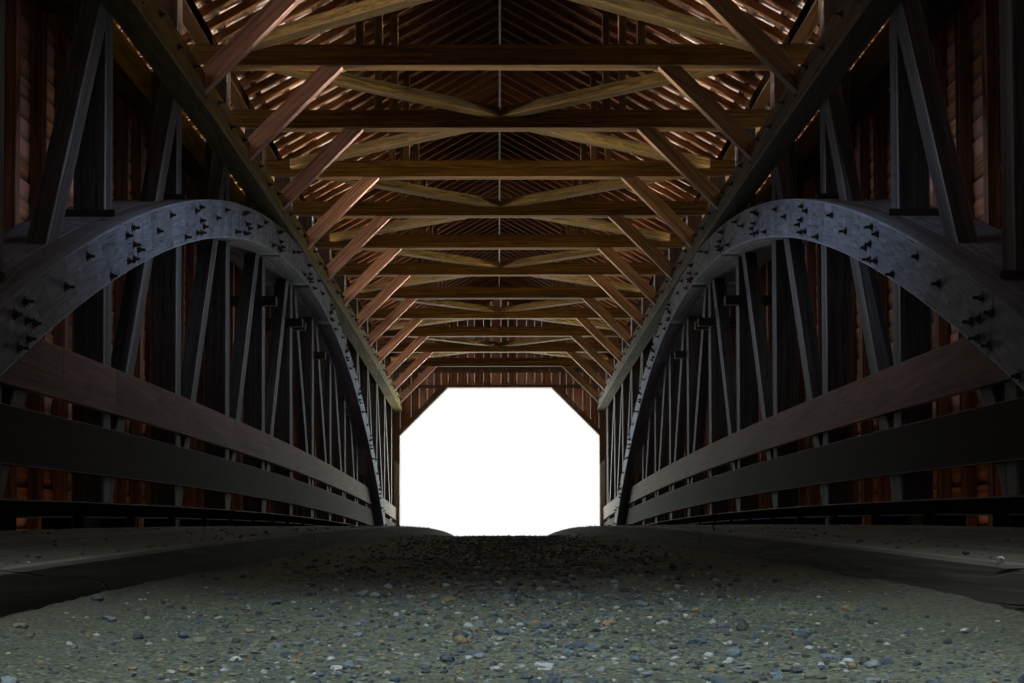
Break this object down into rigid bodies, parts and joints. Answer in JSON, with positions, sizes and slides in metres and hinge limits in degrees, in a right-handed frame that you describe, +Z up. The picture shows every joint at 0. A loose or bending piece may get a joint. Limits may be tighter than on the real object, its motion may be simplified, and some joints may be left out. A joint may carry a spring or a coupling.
{
  "type": "covered timber bridge with burr arch trusses",
  "caption": "Covered timber road bridge: Burr arch trusses, cambered floor, board siding and shingled gable roof, resting on a stone abutment at each end.",
  "frame": {"origin": "on the ground, under the middle of the bridge, midway between the abutments", "axes": "+Y along the roadway towards the north portal, +X across it to the east, +Z up"},
  "size_m": [6.794, 39.17, 10.4911],
  "materials": {
    "stone": "rough coursed stone with lime mortar",
    "frame_wood": "dark weathered timber",
    "floor_wood": "rough sawn timber",
    "deck_wood": "worn planks strewn with grit",
    "runner_wood": "worn dark planks",
    "rail_wood": "brown purple planks, rubbed",
    "tie_wood": "sawn timber, brown to golden",
    "lateral_wood": "newer golden sawn timber",
    "rafter_wood": "sawn timber, orange brown",
    "lath_wood": "sawn laths, orange brown",
    "truss_wood": "weathered blue grey timber with checks",
    "arch_wood": "weathered grey timber with checks and stains",
    "knee_wood": "pinkish brown sawn timber",
    "shingle": "split wood shingles, weathered",
    "stud_wood": "rough sawn timber",
    "siding": "lapped boards painted barn red outside, bare inside",
    "trim": "boards painted off white",
    "jamb_wood": "bleached boards",
    "block_wood": "dark oiled hardwood",
    "bolt_iron": "black iron"
  },
  "bodies": {
    "root": {"south_abutment": "stone", "north_abutment": "stone", "bed_timbers": "frame_wood", "lower_laterals": "floor_wood", "floor_beams": "floor_wood", "stringers": "floor_wood", "deck": "deck_wood", "runners": "runner_wood", "curbs": "rail_wood", "tie_beams": "tie_wood", "upper_laterals": "lateral_wood", "queen_struts": "tie_wood", "rafter_plates": "tie_wood", "ridge_board": "rafter_wood", "ridge_cap": "shingle", "south_portal_frame": "frame_wood", "north_portal_frame": "frame_wood", "south_portal_boards": "siding", "north_portal_boards": "siding", "south_portal_trim": "trim", "north_portal_trim": "trim", "jamb_boards": "jamb_wood", "arch_blocks": "block_wood", "cross_blocks": "block_wood", "west_lower_chord": "truss_wood", "west_posts": "truss_wood", "west_braces": "truss_wood", "west_inner_arch": "arch_wood", "west_outer_arch": "arch_wood", "west_arch_fillers": "arch_wood", "west_upper_chord": "truss_wood", "west_guard_rails": "rail_wood", "west_knee_braces": "knee_wood", "west_rafters": "rafter_wood", "west_laths": "lath_wood", "west_roof": "shingle", "west_studs": "stud_wood", "west_siding": "siding", "east_lower_chord": "truss_wood", "east_posts": "truss_wood", "east_braces": "truss_wood", "east_inner_arch": "arch_wood", "east_outer_arch": "arch_wood", "east_arch_fillers": "arch_wood", "east_upper_chord": "truss_wood", "east_guard_rails": "rail_wood", "east_knee_braces": "knee_wood", "east_rafters": "rafter_wood", "east_laths": "lath_wood", "east_roof": "shingle", "east_studs": "stud_wood", "east_siding": "siding"}
  },
  "joints": []
}
